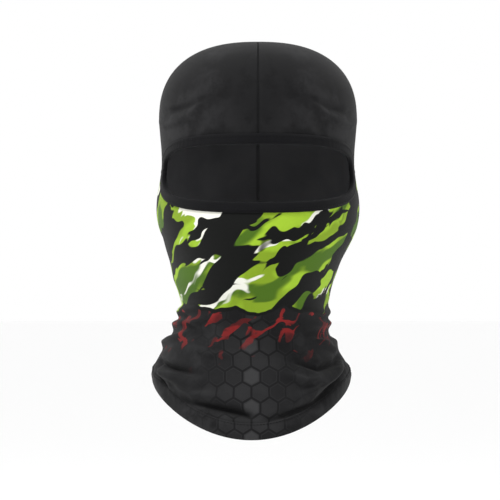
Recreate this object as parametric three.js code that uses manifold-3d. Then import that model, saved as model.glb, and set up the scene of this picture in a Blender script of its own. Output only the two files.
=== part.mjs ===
// A stretch-fabric face mask (balaclava) in the shape that it has on a head: two hood halves joined over the
// crown, a printed front panel, a bound eye opening with elastic in its binding, and a turned hem.
// Millimetres, +Z up, the face towards -Y. The origin is midway between the ears, inside the head space.
import * as THREE from "three";
import { mergeVertices } from "three/addons/utils/BufferGeometryUtils.js";
import Module from "manifold-3d";

const wasm = await Module();
wasm.setup();
const { degToRad } = THREE.MathUtils;

// Fabric, thread and the room left between two pieces that touch
const fabric = 1.2;
const gap = 0.3;
const seamWidth = 3;
const seamThickness = 0.6;
const stitchWidth = 1.2;
const threadThickness = 0.4;

// Heights of the head form above the line between the ears
const crownHeight = 136;
const domeHeight = 70;
const templeHeight = 30;
const earHeight = 3;
const noseHeight = -26;
const lobeHeight = -37;
const mouthHeight = -52;
const chinHeight = -70;
const throatHeight = -84;
const neckHeight = -112;
const shoulderHeight = -135;
const chestHeight = -165;

// Hem line: mean drop, more at the front, lifted over both shoulders
const hemDrop = 161;
const hemFrontDrop = 22.5;
const hemShoulderLift = 12;
const hemWidth = 14;
const hemFold = 1;
const hemStitchInset = 0.6;

// The form runs on below the hem's lowest point, so that the hem can be cut from it
const floorMargin = 30;
const floorTrim = 1;
const floorHeight = -(hemDrop + hemFrontDrop + hemShoulderLift + floorMargin);

// Half width, front depth and back depth of the fabric's inner face at those heights
const form = [
  [floorHeight, 78, 98, 84],
  [chestHeight, 80, 92, 82],
  [shoulderHeight, 81, 80, 74],
  [neckHeight, 66, 70, 64],
  [throatHeight, 59.6, 85, 64],
  [chinHeight, 64.2, 94, 70],
  [mouthHeight, 69, 99, 78],
  [lobeHeight, 74.5, 102, 85],
  [noseHeight, 79.5, 105, 90],
  [earHeight, 83.5, 99, 98],
  [templeHeight, 79.5, 95, 101],
  [domeHeight, 82, 91, 99],
];
const domeRoundness = 2.45;

// Eye opening: outer edge of its binding, in angle from the face's centre line and in height
const cornerAngle = degToRad(80);
const cornerHeight = 28;
const browHeight = 59;
const cheekHeight = -7;
const openingRoundness = 2.6;

// Binding folded round the opening's raw edge, with elastic inside the fold
const bindingWidth = 9;
const bindingLeaf = 0.8;
const bindingFold = 1;
const bindingGrip = 4;
const bindingStitchInset = 2.5;

// Side seam: back from the opening's corner, round behind the ear and down the neck
const earSeamAngle = degToRad(98);
const sideSeamAngle = degToRad(116);
const sideSeamDrop = 43;

// The seam starts this far inside the corner, and the rows of stitching stop this far round from it
const seamStartAngle = degToRad(4);
const stitchEndTurn = degToRad(4);

// The front panel's upper part gathers down over its lower part from here
const jawHeight = -95;

// Mesh fineness
const columns = 36;
const bodyRows = 20;
const domeRows = 6;
const topShare = 0.96;
const openingSteps = 16;
const stitchSteps = 16;
const seamBendSteps = 5;
const seamStraightSteps = 10;

// Mean radius of the head, which turns a width on the fabric into an angle
const meanRadius = 88;

// How far cutters reach inside and outside the fabric, as shares of its distance from the axis
const reachIn = 0.8;
const reachOut = 1.25;
const far = 400;

// The head form -------------------------------------------------------------------------------

const formCurve = new THREE.CubicInterpolant(
  form.map(([z]) => z),
  form.flatMap(([, ...sizes]) => sizes),
  3,
);

// Half width, front depth and back depth at a height, closing over the crown as a superellipse
function section(z) {
  const [width, front, back] = formCurve.evaluate(Math.min(z, domeHeight));
  const rise = Math.max(0, (z - domeHeight) / (crownHeight - domeHeight));
  const closing = (1 - rise ** domeRoundness) ** (1 / domeRoundness);
  return [width * closing, front * closing, back * closing];
}

// Point of the form at an angle from the face's centre line, a height, and a share of the way out from the axis
function formPoint(angle, z, share = 1) {
  const [width, front, back] = section(z);
  const depth = Math.cos(angle) > 0 ? front : back;
  return new THREE.Vector3(share * width * Math.sin(angle), -share * depth * Math.cos(angle), z);
}

// Height of a row of the mesh: even rows up to the dome, then rows that crowd towards the crown
function rowHeight(row) {
  if (row <= bodyRows) return floorHeight + (domeHeight - floorHeight) * (row / bodyRows);
  const turn = ((row - bodyRows) / domeRows) * topShare * (Math.PI / 2);
  return domeHeight + (crownHeight - domeHeight) * Math.sin(turn);
}

// Point of the form moved outwards along its normal
function offsetPoint(angle, row, offset) {
  const step = 0.01;
  const around = formPoint(angle + step, rowHeight(row)).sub(formPoint(angle - step, rowHeight(row)));
  const up = formPoint(angle, rowHeight(row + step)).sub(formPoint(angle, rowHeight(row - step)));
  const normal = around.cross(up).normalize();
  return formPoint(angle, rowHeight(row)).addScaledVector(normal, offset);
}

// Solids --------------------------------------------------------------------------------------

// A closed geometry as a solid that can be cut, whichever way its faces point
function solidOf(geometry) {
  const bare = geometry.clone();
  bare.deleteAttribute("normal");
  bare.deleteAttribute("uv");
  const merged = mergeVertices(bare, 1e-4);
  const corners = merged.index.array;
  const triangles = [];
  for (let i = 0; i < corners.length; i += 3) {
    const [a, b, c] = corners.subarray(i, i + 3);
    if (a !== b && b !== c && c !== a) triangles.push([a, b, c]);
  }
  const build = (faces) =>
    new wasm.Manifold(
      new wasm.Mesh({
        numProp: 3,
        vertProperties: merged.attributes.position.array,
        triVerts: new Uint32Array(faces.flat()),
      }),
    );
  const solid = build(triangles);
  return solid.volume() > 0 ? solid : build(triangles.map(([a, b, c]) => [a, c, b]));
}

// A solid as a geometry with flat facets
function geometryOf(solid) {
  const { numProp, vertProperties, triVerts } = solid.getMesh();
  const positions = [];
  for (const corner of triVerts) {
    positions.push(...vertProperties.subarray(corner * numProp, corner * numProp + 3));
  }
  const geometry = new THREE.BufferGeometry();
  geometry.setAttribute("position", new THREE.Float32BufferAttribute(positions, 3));
  geometry.computeVertexNormals();
  return geometry;
}

// A closed solid through a row of loops, capped at its ends, or joined end to end as a ring.
// The diagonals of its quads change hands halfway round, so the two sides of a thin wall run side by side.
function skin(loops, ring = false) {
  const size = loops[0].length;
  const index = [];
  const spans = ring ? loops.length : loops.length - 1;
  for (let i = 0; i < spans; i++) {
    const here = i * size;
    const next = ((i + 1) % loops.length) * size;
    for (let j = 0; j < size; j++) {
      const k = (j + 1) % size;
      if (j < size / 2) index.push(here + j, here + k, next + k, here + j, next + k, next + j);
      else index.push(here + j, here + k, next + j, here + k, next + k, next + j);
    }
  }
  const end = (loops.length - 1) * size;
  for (let j = 1; j < size - 1 && !ring; j++) {
    index.push(0, j + 1, j, end, end + j, end + j + 1);
  }
  const geometry = new THREE.BufferGeometry();
  const positions = loops.flat().flatMap((point) => point.toArray());
  geometry.setAttribute("position", new THREE.Float32BufferAttribute(positions, 3));
  geometry.setIndex(index);
  return solidOf(geometry);
}

// The whole form grown by an offset, as one solid without an opening
function grown(offset) {
  const loops = [];
  for (let row = 0; row <= bodyRows + domeRows; row++) {
    const loop = [];
    for (let i = 0; i < columns; i++) {
      loop.push(offsetPoint((i / columns) * 2 * Math.PI, row, offset));
    }
    loops.push(loop);
  }
  return skin(loops);
}

// The layer between two offsets of the form, open at its floor
function layer(from, to) {
  return grown(to).subtract(grown(from)).intersect(aboveFloor);
}

// Everything in front of and behind a patch of the fabric, whose columns are [angle, low, high]
function patch(spans, ring = false) {
  const loops = spans.map(([angle, low, high]) => [
    formPoint(angle, low, reachIn),
    formPoint(angle, low, reachOut),
    formPoint(angle, high, reachOut),
    formPoint(angle, high, reachIn),
  ]);
  return skin(loops, ring);
}

// Everything in front of and behind a strip of the fabric along a path of [angle, height]
function strip(path, width) {
  const loops = path.map(([angle, z], i) => {
    const [angleBefore, zBefore] = path[Math.max(i - 1, 0)];
    const [angleAfter, zAfter] = path[Math.min(i + 1, path.length - 1)];
    const across = new THREE.Vector2(zBefore - zAfter, (angleAfter - angleBefore) * meanRadius);
    across.setLength(width / 2);
    const low = [angle - across.x / meanRadius, z - across.y];
    const high = [angle + across.x / meanRadius, z + across.y];
    return [
      formPoint(...low, reachIn),
      formPoint(...low, reachOut),
      formPoint(...high, reachOut),
      formPoint(...high, reachIn),
    ];
  });
  return skin(loops);
}

// A box between two corners
function box(low, high) {
  const size = new THREE.Vector3().subVectors(high, low);
  const geometry = new THREE.BoxGeometry(...size.toArray());
  geometry.translate(...low.clone().addScaledVector(size, 0.5).toArray());
  return solidOf(geometry);
}

const corner = (x, y, z) => new THREE.Vector3(x, y, z);
const above = (z) => box(corner(-far, -far, z), corner(far, far, far));
const below = (z) => box(corner(-far, -far, -far), corner(far, far, z));
const centreSlab = (width) => box(corner(-width / 2, -far, -far), corner(width / 2, far, far));
const aboveFloor = above(floorHeight + floorTrim);
const leftSide = box(corner(-far, -far, -far), corner(0, far, far));
const rightSide = box(corner(0, -far, -far), corner(far, far, far));

// Outlines on the fabric ----------------------------------------------------------------------

// Edge of the eye opening drawn in by an inset; a turn of 0 is the right corner, 90 degrees the brow
function openingEdge(inset, turn) {
  const tall = Math.sin(turn) > 0 ? browHeight - cornerHeight : cornerHeight - cheekHeight;
  const bend = 2 / openingRoundness;
  const along = Math.sign(Math.cos(turn)) * Math.abs(Math.cos(turn)) ** bend;
  const up = Math.sign(Math.sin(turn)) * Math.abs(Math.sin(turn)) ** bend;
  return [along * (cornerAngle - inset / meanRadius), cornerHeight + up * (tall - inset)];
}

// Everything in front of the eye opening, drawn in by an inset
function opening(inset) {
  const spans = [];
  for (let i = 0; i <= openingSteps; i++) {
    const turn = Math.PI * (1 - i / openingSteps);
    const [angle, high] = openingEdge(inset, turn);
    spans.push([angle, openingEdge(inset, -turn)[1], high]);
  }
  return patch(spans);
}

// Line round half of the opening, from just past one corner to just before the other
function openingLine(inset, side) {
  const path = [];
  for (let i = 0; i <= stitchSteps; i++) {
    const turn = stitchEndTurn + (Math.PI - 2 * stitchEndTurn) * (i / stitchSteps);
    path.push(openingEdge(inset, side * turn));
  }
  return path;
}

// Seam line from the opening's corner to below the hem, on one side
function sideSeamLine(side) {
  const path = [
    [side * (cornerAngle - seamStartAngle), cornerHeight],
    [side * earSeamAngle, cornerHeight],
  ];
  for (let i = 1; i <= seamBendSteps; i++) {
    const turn = (i / seamBendSteps) * (Math.PI / 2);
    const angle = earSeamAngle + (sideSeamAngle - earSeamAngle) * Math.sin(turn);
    path.push([side * angle, cornerHeight - sideSeamDrop * (1 - Math.cos(turn))]);
  }
  const straightTop = cornerHeight - sideSeamDrop;
  for (let i = 1; i <= seamStraightSteps; i++) {
    const share = i / seamStraightSteps;
    path.push([side * sideSeamAngle, straightTop + (floorHeight - straightTop) * share]);
  }
  return path;
}

// Height of the hem line at an angle
function hemHeight(angle) {
  return -hemDrop - hemFrontDrop * Math.cos(angle) - hemShoulderLift * Math.cos(2 * angle);
}

// Everything below a line that runs a lift above the hem
function belowHem(lift) {
  const spans = [];
  for (let i = 0; i < columns; i++) {
    const angle = ((i + 0.5) / columns) * 2 * Math.PI;
    spans.push([angle, floorHeight, hemHeight(angle) + lift]);
  }
  return patch(spans, true);
}

// Pieces --------------------------------------------------------------------------------------

const hem = belowHem(0);
const aboveHemBand = belowHem(hemWidth + seamWidth / 2);
const bindingEdge = opening(0);
const pastBinding = opening(-gap);
const upperHalf = above(cornerHeight + gap);
const lowerHalf = below(cornerHeight - gap);

// The fabric parted along the side seams: the hood, and the front panel
function cutFabric() {
  const slits = strip(sideSeamLine(-1), gap).add(strip(sideSeamLine(1), gap));
  const parts = layer(0, fabric)
    .subtract(opening(bindingGrip))
    .subtract(belowHem(hemFold + gap))
    .subtract(slits)
    .decompose();
  return parts.sort((a, b) => b.boundingBox().max[2] - a.boundingBox().max[2]);
}

const [hood, frontPanel] = cutFabric();
const hoodHalves = hood.subtract(centreSlab(gap));

// A binding folded over the opening's edge: two leaves and a fold, open towards the panel that it grips
function binding(half) {
  const outside = fabric + gap + bindingLeaf;
  const body = layer(-gap - bindingLeaf, outside)
    .intersect(bindingEdge)
    .subtract(opening(bindingWidth));
  const channel = layer(-gap, fabric + gap).subtract(opening(bindingWidth - bindingFold));
  return body.subtract(channel).intersect(half);
}

// Elastic tape in the fold of the binding, beside the edge of the panel
function elastic(half) {
  return layer(0, fabric)
    .intersect(opening(bindingGrip + gap))
    .subtract(opening(bindingWidth - bindingFold - gap))
    .intersect(half);
}

// Row of cover stitching that lies on the binding
function bindingStitch(side) {
  const onBinding = fabric + bindingLeaf + 2 * gap;
  return layer(onBinding, onBinding + threadThickness).intersect(
    strip(openingLine(bindingStitchInset, side), stitchWidth),
  );
}

const seamLayer = layer(fabric + gap, fabric + gap + seamThickness);

// Flat seam over the crown, from the brow to the hem band at the back
function crownSeam() {
  return seamLayer
    .intersect(centreSlab(seamWidth))
    .subtract(box(corner(-far, -far, -far), corner(far, 0, cornerHeight)))
    .subtract(pastBinding)
    .subtract(aboveHemBand);
}

// Flat seam between the front panel and one hood half
function sideSeam(side) {
  return seamLayer
    .intersect(strip(sideSeamLine(side), seamWidth))
    .subtract(pastBinding)
    .subtract(aboveHemBand);
}

// Doubled edge turned up inside the panels, with its fold under their lower edge
function bottomHem() {
  const turnedUp = layer(-gap - fabric, -gap).intersect(belowHem(hemWidth));
  const fold = layer(-gap - fabric, fabric).intersect(belowHem(hemFold));
  return turnedUp.add(fold).subtract(hem);
}

// Row of cover stitching round the top of the hem
function hemStitch() {
  return layer(fabric + gap, fabric + gap + threadThickness)
    .intersect(belowHem(hemWidth - hemStitchInset))
    .subtract(belowHem(hemWidth - hemStitchInset - stitchWidth));
}

// The mask ------------------------------------------------------------------------------------

const finish = {
  jersey: { color: 0x2a2a2b, roughness: 0.9, metalness: 0 },
  print: { color: 0x8fb52c, roughness: 0.9, metalness: 0 },
  binding: { color: 0x1b1b1c, roughness: 0.85, metalness: 0 },
  elastic: { color: 0x101010, roughness: 0.7, metalness: 0 },
  thread: { color: 0x222223, roughness: 0.7, metalness: 0 },
};

const mask = new THREE.Group();

function addPiece(name, solid, look) {
  const piece = new THREE.Mesh(geometryOf(solid), new THREE.MeshStandardMaterial(look));
  piece.name = name;
  mask.add(piece);
}

addPiece("hood_left_panel", hoodHalves.intersect(leftSide), finish.jersey);
addPiece("hood_right_panel", hoodHalves.intersect(rightSide), finish.jersey);
addPiece("face_panel", frontPanel.intersect(above(jawHeight + gap / 2)), finish.print);
addPiece("neck_front_panel", frontPanel.intersect(below(jawHeight - gap / 2)), finish.jersey);
addPiece("brow_binding", binding(upperHalf), finish.binding);
addPiece("cheek_binding", binding(lowerHalf), finish.binding);
addPiece("brow_elastic", elastic(upperHalf), finish.elastic);
addPiece("cheek_elastic", elastic(lowerHalf), finish.elastic);
addPiece("brow_stitch", bindingStitch(1), finish.thread);
addPiece("cheek_stitch", bindingStitch(-1), finish.thread);
addPiece("crown_seam", crownSeam(), finish.thread);
addPiece("side_seam_left", sideSeam(-1), finish.thread);
addPiece("side_seam_right", sideSeam(1), finish.thread);
addPiece("bottom_hem", bottomHem(), finish.jersey);
addPiece("hem_stitch", hemStitch(), finish.thread);

export default mask;
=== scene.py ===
"""A stretch-fabric face mask in the shape that it has on a head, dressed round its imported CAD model.

The cloth pieces are sheets laid on the head form, which is read back from the CAD panels, and folded at the
neck. Threads are single stitches, modelled once and repeated along their seams.
"""

import logging
import math
from collections.abc import Callable
from dataclasses import dataclass, field, replace
from enum import Enum

import bpy
import numpy as np
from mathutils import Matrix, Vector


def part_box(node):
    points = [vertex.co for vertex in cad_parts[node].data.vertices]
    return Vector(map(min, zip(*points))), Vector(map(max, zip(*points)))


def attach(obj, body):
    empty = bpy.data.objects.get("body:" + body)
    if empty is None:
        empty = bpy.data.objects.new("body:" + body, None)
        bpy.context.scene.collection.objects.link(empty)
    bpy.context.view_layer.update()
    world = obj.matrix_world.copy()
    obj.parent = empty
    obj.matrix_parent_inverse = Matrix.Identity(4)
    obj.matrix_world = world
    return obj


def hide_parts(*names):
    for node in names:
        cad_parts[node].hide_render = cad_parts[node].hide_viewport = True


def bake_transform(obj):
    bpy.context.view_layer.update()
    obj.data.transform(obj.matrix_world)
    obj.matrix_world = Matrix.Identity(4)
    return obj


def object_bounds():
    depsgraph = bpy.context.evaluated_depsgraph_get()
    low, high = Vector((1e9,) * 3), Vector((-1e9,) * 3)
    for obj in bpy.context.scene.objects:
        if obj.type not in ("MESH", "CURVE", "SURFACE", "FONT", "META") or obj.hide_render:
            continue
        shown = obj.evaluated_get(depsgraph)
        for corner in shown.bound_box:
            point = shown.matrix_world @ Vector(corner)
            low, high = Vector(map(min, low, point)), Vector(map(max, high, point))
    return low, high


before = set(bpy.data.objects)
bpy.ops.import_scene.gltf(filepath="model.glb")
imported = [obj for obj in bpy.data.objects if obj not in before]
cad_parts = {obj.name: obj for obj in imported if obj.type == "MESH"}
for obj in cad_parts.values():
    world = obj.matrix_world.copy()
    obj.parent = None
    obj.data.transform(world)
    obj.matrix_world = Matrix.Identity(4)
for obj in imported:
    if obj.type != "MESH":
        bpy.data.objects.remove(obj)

CAD_BOX = [list(corner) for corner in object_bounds()]
LOG = logging.getLogger("face_mask")
MM = 0.001
MEAN_RADIUS = 88 * MM
# Distances from a seam at which columns of points follow its dip, and how many times the last one the even
# columns begin at.
SEAM_COLUMNS = np.array((0.0, 0.6, 1.3, 2.2)) * MM
NEXT_COLUMN = 1.4
# Points round the bend of a folded strip.
BEND_STEPS = 9

Colour = tuple[float, float, float, float]


class Side(Enum):
    """A side of the mask as a viewer who faces it sees it."""

    LEFT = -1
    RIGHT = 1


class Edge(Enum):
    """The upper or the lower edge of the eye opening."""

    BROW = 1
    CHEEK = -1


def smooth(low: float, high: float, value: np.ndarray) -> np.ndarray:
    """A smooth step from 0 at low to 1 at high.

    Args:
        low: Where the step starts.
        high: Where the step ends.
        value: The numbers to step.

    Returns:
        The stepped numbers, from 0 to 1.
    """
    share = np.clip((value - low) / (high - low), 0, 1)
    return share * share * (3 - 2 * share)


# The form of the worn cloth -------------------------------------------------------------------------


@dataclass(frozen=True)
class Fold:
    """A ridge (height above 0) or a valley (below 0) in the cloth.

    Attributes:
        path: Points along it, as degrees round from the face and millimetres of height.
        width: Half width, in millimetres.
        height: How far it stands proud, in millimetres.
    """

    path: tuple[tuple[float, float], ...]
    width: float
    height: float

    def lift(self, angle: np.ndarray, height: np.ndarray) -> np.ndarray:
        """How far the fold lifts the cloth at some points.

        Args:
            angle: Angles round from the face, in radians.
            height: Heights, in metres.

        Returns:
            The lift at each point, in metres.
        """
        points = [np.array((math.radians(a) * MEAN_RADIUS, z * MM)) for a, z in self.path]
        here = np.stack([angle * MEAN_RADIUS, height], axis=-1)
        spans = len(points) - 1
        nearest = np.full(angle.shape, 1e9)
        along = np.zeros(angle.shape)
        for i in range(spans):
            step = points[i + 1] - points[i]
            share = np.clip(((here - points[i]) @ step) / (step @ step), 0, 1)
            distance = np.linalg.norm(here - points[i] - share[..., None] * step, axis=-1)
            closer = distance < nearest
            nearest = np.where(closer, distance, nearest)
            along = np.where(closer, (i + share) / spans, along)
        across = (nearest / (self.width * MM)) ** 2
        taper = np.sin(np.pi * np.clip(along, 0.02, 0.98)) ** 0.7
        return self.height * MM * taper * (1 - 0.6 * across) * np.exp(-across)


NECK_AND_BIB_FOLDS = (
    Fold(((-130, -82), (-90, -90), (-40, -84)), 4.6, 3.4),
    Fold(((-124, -97), (-84, -101), (-30, -95)), 4.2, 4.0),
    Fold(((-128, -113), (-86, -116), (-50, -106)), 4.4, 4.4),
    Fold(((-70, -92), (-46, -106), (-22, -112)), 5.0, -2.2),
    Fold(((30, -86), (80, -91), (128, -85)), 4.6, 3.2),
    Fold(((40, -100), (86, -99), (126, -104)), 4.4, 3.8),
    Fold(((34, -114), (88, -115), (132, -109)), 4.0, 3.2),
    Fold(((20, -96), (44, -108), (70, -110)), 5.0, -2.0),
    Fold(((-86, -128), (-62, -134), (-30, -141)), 3.8, -6.4),
    Fold(((-80, -138), (-60, -142), (-34, -152)), 4.4, 4.0),
    Fold(((-80, -132), (-68, -146), (-54, -164), (-34, -167)), 4.8, -9.0),
    Fold(((-52, -150), (-36, -158), (-16, -160)), 4.4, 4.2),
    Fold(((-38, -164), (-22, -168), (-8, -172), (4, -178)), 4.4, -7.6),
    Fold(((-46, -118), (-28, -125), (-6, -125)), 4.0, 2.6),
    Fold(((-6, -150), (8, -158), (18, -168)), 5.0, 2.0),
    Fold(((2, -184), (22, -174), (40, -166), (60, -148), (78, -134)), 4.0, -9.0),
    Fold(((20, -164), (40, -154), (58, -142), (72, -132)), 4.4, 4.4),
    Fold(((22, -128), (44, -136), (64, -131), (84, -122)), 3.8, -6.0),
    Fold(((14, -140), (34, -147), (54, -142)), 4.2, 3.4),
    Fold(((50, -112), (72, -121), (92, -118)), 4.2, 2.8),
    Fold(((-104, -122), (-130, -128), (-160, -124)), 6.5, 3.2),
    Fold(((104, -120), (134, -126), (164, -122)), 6.5, 3.0),
    Fold(((-168, -92), (-180, -98), (-196, -94)), 6.0, 2.8),
    Fold(((150, -106), (176, -112), (198, -108)), 6.0, 2.8),
)


def both_sides(*right: Fold) -> tuple[Fold, ...]:
    """Folds of the right side, with their mirror images on the left."""
    left = tuple(replace(fold, path=tuple((-angle, height) for angle, height in fold.path)) for fold in right)
    return left + right


CROWN_CREASES = both_sides(
    Fold(((30, 86), (46, 78), (64, 74), (88, 77)), 3.4, -2.5),
    Fold(((36, 75), (52, 69), (70, 66), (86, 69)), 3.2, 1.5),
)
EAR_BULGES = both_sides(Fold(((98, 16), (97, -8), (95, -28)), 15.0, 1.6))


@dataclass
class HeadForm:
    """The outer face of the worn cloth, read back from slices of the CAD panels.

    A point on it is an angle round from the face, and a rise: its height in metres up to the dome, and above
    that a nominal length along the dome's arc.

    Attributes:
        pattern: The outlines of the cut pieces.
        panels: The CAD nodes that give the form.
        dome_height: Where the dome begins.
        dome_arc: How long the dome's arc counts as.
        dome_roundness: 2 for an ellipse, more for a boxier dome.
        slices: How many slices are read.
        slice_margin: How far above the lowest point the first slice is.
        centre_band: How near the middle plane a point gives the front or the back.
        side_band: How near the ears' plane a point gives the width.
        brow_rise: Where the crown seam begins at the front.
        side_rise: Below this the side seams run straight down.
        side_angle: Where they do so.
        dip_depth: How far a seam draws the cloth in.
        dip_width: How far from the seam it does so.
        hem_stiff: Up to this height above the hem the folds are held down.
        hem_loose: From this height on they are free.
        hem_give: How much of them is left at the hem.
        pucker_height: The height above the hem of its stitching.
        pucker_reach: How far from there the cloth is puckered.
        pucker_span: The length of one pucker.
        pucker_depth: Its depth.
        shallow: The depth at which the shade painted into the creases begins.
        deep: The depth at which that painted shade is darkest.
        lean: How far the form leans sideways at some heights, in millimetres, lowest first.
        folds: Every fold.
        levels: The half widths and depths that the slices gave.
    """

    pattern: "Pattern"
    panels: tuple[str, ...] = (
        "hood_left_panel",
        "hood_right_panel",
        "face_panel",
        "neck_front_panel",
    )
    dome_height: float = 70 * MM
    dome_arc: float = 110 * MM
    dome_roundness: float = 2.45
    slices: int = 21
    slice_margin: float = 3 * MM
    centre_band: float = 2 * MM
    side_band: float = 30 * MM
    brow_rise: float = 50 * MM
    side_rise: float = -15 * MM
    side_angle: float = math.radians(116)
    dip_depth: float = 0.55 * MM
    hem_stiff: float = 11 * MM
    hem_loose: float = 23 * MM
    hem_give: float = 0.2
    pucker_height: float = 14 * MM
    pucker_reach: float = 6 * MM
    pucker_span: float = 7.5 * MM
    pucker_depth: float = 0.16 * MM
    dip_width: float = 1.7 * MM
    # Depths over which the shade painted into the creases fades in.
    shallow: float = 0.6 * MM
    deep: float = 4.8 * MM
    lean: tuple[tuple[float, float], ...] = (
        (-195, -5.5),
        (-138, -5.5),
        (-113, -7.0),
        (-83, -2.5),
        (-63, -3.6),
        (-42, -1.8),
        (-28, 0),
        (70, 0),
    )
    folds: tuple[Fold, ...] = NECK_AND_BIB_FOLDS + CROWN_CREASES + EAR_BULGES
    levels: dict[str, tuple[np.ndarray, np.ndarray]] = field(default_factory=dict)

    def __post_init__(self) -> None:
        """Slices the CAD panels at even heights and keeps their half widths and depths."""
        low = min(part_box(name)[0].z for name in self.panels) + self.slice_margin
        self.crown_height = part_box(self.panels[0])[1].z
        segments = self._edges()
        found: dict[str, list[tuple[float, float]]] = {"width": [], "front": [], "back": []}
        for z in np.linspace(low, self.dome_height, self.slices):
            cut = self._slice(segments, z)
            middle = cut[np.abs(cut[:, 0]) < self.centre_band]
            front, back = middle[middle[:, 1] < 0], middle[middle[:, 1] > 0]
            side = cut[np.abs(cut[:, 1]) < self.side_band]
            if len(side):
                found["width"].append((z, np.abs(side[:, 0]).max()))
            if len(front):
                found["front"].append((z, -front[:, 1].min()))
            if len(back):
                found["back"].append((z, back[:, 1].max()))
        self.levels = {name: tuple(np.array(rows).T) for name, rows in found.items()}

    def _edges(self) -> np.ndarray:
        """Collects the panels' edges.

        Returns:
            Pairs of points.
        """
        pairs = []
        for name in self.panels:
            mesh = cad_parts[name].data
            points = np.array([v.co for v in mesh.vertices])
            ends = np.array([e.vertices for e in mesh.edges])
            pairs.append(points[ends])
        return np.concatenate(pairs)

    def _slice(self, segments: np.ndarray, z: float) -> np.ndarray:
        """Where the panels' edges cross a height.

        Args:
            segments: Pairs of points.
            z: The height of the slice.

        Returns:
            The crossing points, as x and y.
        """
        a, b = segments[:, 0], segments[:, 1]
        crossing = (a[:, 2] - z) * (b[:, 2] - z) < 0
        a, b = a[crossing], b[crossing]
        share = (z - a[:, 2]) / (b[:, 2] - a[:, 2])
        return (a + (b - a) * share[:, None])[:, :2]

    def _level(self, name: str, z: np.ndarray) -> np.ndarray:
        """A size of the form at some heights, on a smooth curve through its slices.

        Args:
            name: Which size.
            z: The heights.

        Returns:
            The size at each height.
        """
        heights, sizes = self.levels[name]
        slopes = np.gradient(sizes, heights)
        z = np.clip(z, heights[0], heights[-1])
        i = np.clip(np.searchsorted(heights, z) - 1, 0, len(heights) - 2)
        span = heights[i + 1] - heights[i]
        t = (z - heights[i]) / span
        return (
            (2 * t**3 - 3 * t**2 + 1) * sizes[i]
            + (t**3 - 2 * t**2 + t) * span * slopes[i]
            + (3 * t**2 - 2 * t**3) * sizes[i + 1]
            + (t**3 - t**2) * span * slopes[i + 1]
        )

    @property
    def top(self) -> float:
        """The rise of the crown's very top."""
        return self.dome_height + self.dome_arc

    def base(self, angle: np.ndarray, rise: np.ndarray) -> np.ndarray:
        """Points of the smooth form, without its folds.

        Args:
            angle: Angles round from the face, in radians.
            rise: Rises.

        Returns:
            The points.
        """
        turn = np.clip((rise - self.dome_height) / self.dome_arc, 0, 1) * np.pi / 2
        power = 2 / self.dome_roundness
        closing = np.clip(np.cos(turn), 0, 1) ** power
        z = np.where(
            rise > self.dome_height,
            self.dome_height + (self.crown_height - self.dome_height) * np.sin(turn) ** power,
            rise,
        )
        width = self._level("width", z) * closing
        front = self._level("front", z) * closing
        back = self._level("back", z) * closing
        depth = np.where(np.cos(angle) > 0, front, back)
        heights, shifts = np.array(self.lean).T * MM
        shift = np.interp(z, heights, shifts)
        return np.stack([width * np.sin(angle) + shift, -depth * np.cos(angle), z], axis=-1)

    def _normal(self, angle: np.ndarray, rise: np.ndarray) -> np.ndarray:
        """Outward normals of the smooth form.

        Args:
            angle: Angles round from the face, in radians.
            rise: Rises.

        Returns:
            The normals, of length 1.
        """
        turn, step = 0.01, 1 * MM
        rise = np.clip(rise, None, self.top - 2 * step)
        around = self.base(angle + turn, rise) - self.base(angle - turn, rise)
        up = self.base(angle, rise + step) - self.base(angle, rise - step)
        normal = np.cross(around, up)
        return normal / np.maximum(np.linalg.norm(normal, axis=-1, keepdims=True), 1e-12)

    def _seam_dip(self, angle: np.ndarray, rise: np.ndarray) -> np.ndarray:
        """How far the crown seam and the straight parts of the side seams draw the cloth in.

        Args:
            angle: Angles round from the face, in radians.
            rise: Rises.

        Returns:
            The lift at each point, 0 or less, in metres.
        """
        crown = np.where(rise > self.brow_rise, np.abs(angle), np.pi)
        crown = np.minimum(crown, np.abs(np.pi - np.abs(angle)))
        side = np.where(rise < self.side_rise, np.abs(np.abs(angle) - self.side_angle), np.pi)
        away = np.minimum(crown, side) * MEAN_RADIUS / self.dip_width
        return -self.dip_depth * np.exp(-(away**2))

    def _pucker(self, angle: np.ndarray, above_hem: np.ndarray) -> np.ndarray:
        """The slight waves that the hem's stitching draws into the cloth.

        Args:
            angle: Angles round from the face, in radians.
            above_hem: Heights above the hem line.

        Returns:
            The lift at each point, in metres.
        """
        near = np.exp(-(((above_hem - self.pucker_height) / self.pucker_reach) ** 2))
        length = angle * MEAN_RADIUS / self.pucker_span
        uneven, slow = 1.3 * np.sin(9 * angle), 0.6 * np.sin(23 * angle)
        return self.pucker_depth * (np.sin(2 * np.pi * length + uneven) + slow) * near

    def _lift(self, angle: np.ndarray, rise: np.ndarray) -> np.ndarray:
        """How far the folds and seams lift the cloth off its smooth form. The stiff hem holds them down.

        Args:
            angle: Angles round from the face, in radians.
            rise: Rises.

        Returns:
            The lift at each point, in metres.
        """
        lift = self._seam_dip(angle, rise)
        for fold in self.folds:
            for lap in (-2 * np.pi, 0, 2 * np.pi):
                lift = lift + fold.lift(angle + lap, rise)
        above_hem = rise - self.pattern.hem_height(angle)
        free = self.hem_give + (1 - self.hem_give) * smooth(self.hem_stiff, self.hem_loose, above_hem)
        return lift * free + self._pucker(angle, above_hem)

    def hollow(self, angle: np.ndarray, rise: np.ndarray) -> np.ndarray:
        """How deep the cloth lies in its creases, from 0 on the smooth form to 1."""
        # The finishes paint shade into the creases by this depth.
        return smooth(self.shallow, self.deep, -self._lift(angle, rise))

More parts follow.
